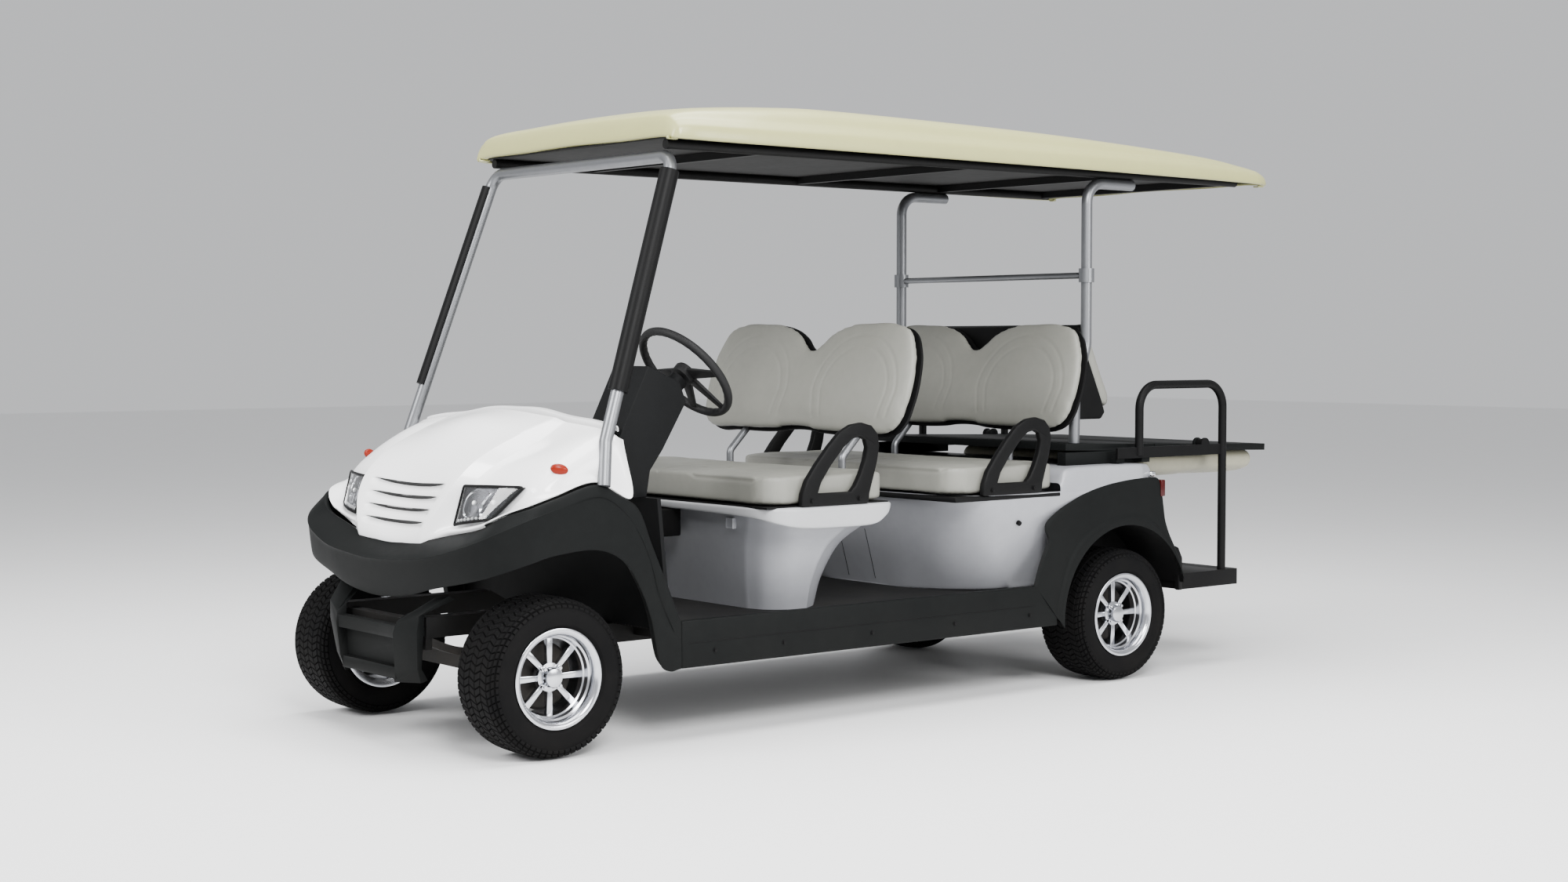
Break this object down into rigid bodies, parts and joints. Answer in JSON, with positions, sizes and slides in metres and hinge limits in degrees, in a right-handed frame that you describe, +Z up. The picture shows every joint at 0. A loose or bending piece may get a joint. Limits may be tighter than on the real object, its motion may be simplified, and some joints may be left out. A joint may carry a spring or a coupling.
{
  "type": "golf cart",
  "caption": "Open electric golf cart with a canopy, two forward bench seats, steered front wheels and a flip-over rear-facing seat stowed as a cargo deck.",
  "frame": {"origin": "on the ground at mid-width, half-way between the front guard and the rear edge of the deck panel", "axes": "+X to the cart's left, +Y rearward, +Z up"},
  "size_m": [1.2152, 3.4778, 1.918],
  "materials": {
    "amber": "amber lens",
    "black_trim": "grained dark grey moulding",
    "cream": "cream moulded canopy",
    "frame_black": "black powder coat",
    "grey_panel": "pale silver grey moulding",
    "grip": "soft black grip",
    "iron": "dark casting",
    "lens": "clear lamp lens",
    "liner": "pale headliner",
    "polished": "machined and polished",
    "red_lens": "red lens",
    "silver_tube": "satin silver tube",
    "steel": "bare steel",
    "tyre_rubber": "matt rubber",
    "vinyl": "cream seat vinyl",
    "white": "gloss white moulded body panels"
  },
  "bodies": {
    "chassis": {"armrests": "black_trim", "backrest_pads": "vinyl", "backrest_shells": "black_trim", "battery_pack": "black_trim", "chassis_frame": "frame_black", "dashboard": "black_trim", "drive_motor": "iron", "floor_pan": "black_trim", "front_axle": "frame_black", "front_bulkhead": "black_trim", "front_fenders": "black_trim", "front_guard": "black_trim", "front_seat_pod": "grey_panel", "front_seat_rim": "white", "grab_rails": "frame_black", "headlights": "lens", "hood": "white", "leaf_springs": "steel", "pedals": "frame_black", "rear_axle": "frame_black", "rear_body": "grey_panel", "rear_deck": "black_trim", "rear_fenders": "black_trim", "rear_footrest": "frame_black", "rear_struts": "silver_tube", "roof": "cream", "roof_liner": "liner", "roof_rails": "frame_black", "seat_back_supports": "silver_tube", "seat_cushions": "vinyl", "selector_box": "black_trim", "side_sills": "black_trim", "steering_column": "frame_black", "strut_covers": "black_trim", "strut_crossbar": "silver_tube", "tail_lamps": "red_lens", "turn_signals": "amber", "windscreen_frame": "silver_tube"},
    "knuckle_left": {"knuckle_left": "iron"},
    "knuckle_right": {"knuckle_right": "iron"},
    "tie_rod": {"tie_rod": "frame_black"},
    "steering_wheel": {"steering_wheel": "grip"},
    "rear_seat_flip": {"flip_cushion": "vinyl", "flip_deck": "black_trim"},
    "wheel_front_left": {"rim_front_left": "polished", "tyre_front_left": "tyre_rubber"},
    "wheel_front_right": {"rim_front_right": "polished", "tyre_front_right": "tyre_rubber"},
    "wheel_rear_left": {"rim_rear_left": "polished", "tyre_rear_left": "tyre_rubber"},
    "wheel_rear_right": {"rim_rear_right": "polished", "tyre_rear_right": "tyre_rubber"}
  },
  "joints": [
    {"name": "left_kingpin", "type": "hinge", "parent": "chassis", "child": "knuckle_left", "pos_m": [0.372, -1.447, 0.23], "axis": [0, 0, 1], "range_deg": [-30, 30]},
    {"name": "right_kingpin", "type": "hinge", "parent": "chassis", "child": "knuckle_right", "pos_m": [-0.372, -1.447, 0.23], "axis": [0, 0, 1], "range_deg": [-30, 30]},
    {"name": "tie_rod_ball", "type": "hinge", "parent": "knuckle_left", "child": "tie_rod", "pos_m": [0.372, -1.329, 0.208], "axis": [0, 0, 1], "range_deg": [-30, 30]},
    {"name": "steering_shaft", "type": "hinge", "parent": "chassis", "child": "steering_wheel", "pos_m": [0.312, -0.795, 1.084], "axis": [0, 0.7593, 0.6508], "range_deg": [-450, 450]},
    {"name": "seat_flip", "type": "hinge", "parent": "chassis", "child": "rear_seat_flip", "pos_m": [0, 1.35, 0.8095], "axis": [1, 0, 0], "range_deg": [0, 180]},
    {"name": "wheel_spin_front_left", "type": "hinge", "parent": "knuckle_left", "child": "wheel_front_left", "pos_m": [0.5, -1.447, 0.23], "axis": [1, 0, 0], "continuous": true},
    {"name": "wheel_spin_front_right", "type": "hinge", "parent": "knuckle_right", "child": "wheel_front_right", "pos_m": [-0.5, -1.447, 0.23], "axis": [1, 0, 0], "continuous": true},
    {"name": "wheel_spin_rear_left", "type": "hinge", "parent": "chassis", "child": "wheel_rear_left", "pos_m": [0.5, 0.886, 0.23], "axis": [1, 0, 0], "continuous": true},
    {"name": "wheel_spin_rear_right", "type": "hinge", "parent": "chassis", "child": "wheel_rear_right", "pos_m": [-0.5, 0.886, 0.23], "axis": [1, 0, 0], "continuous": true}
  ],
  "couplings": [
    {"joint": "right_kingpin", "follows": "left_kingpin", "ratio": 1},
    {"joint": "tie_rod_ball", "follows": "left_kingpin", "ratio": -1},
    {"joint": "steering_shaft", "follows": "left_kingpin", "ratio": 15}
  ]
}
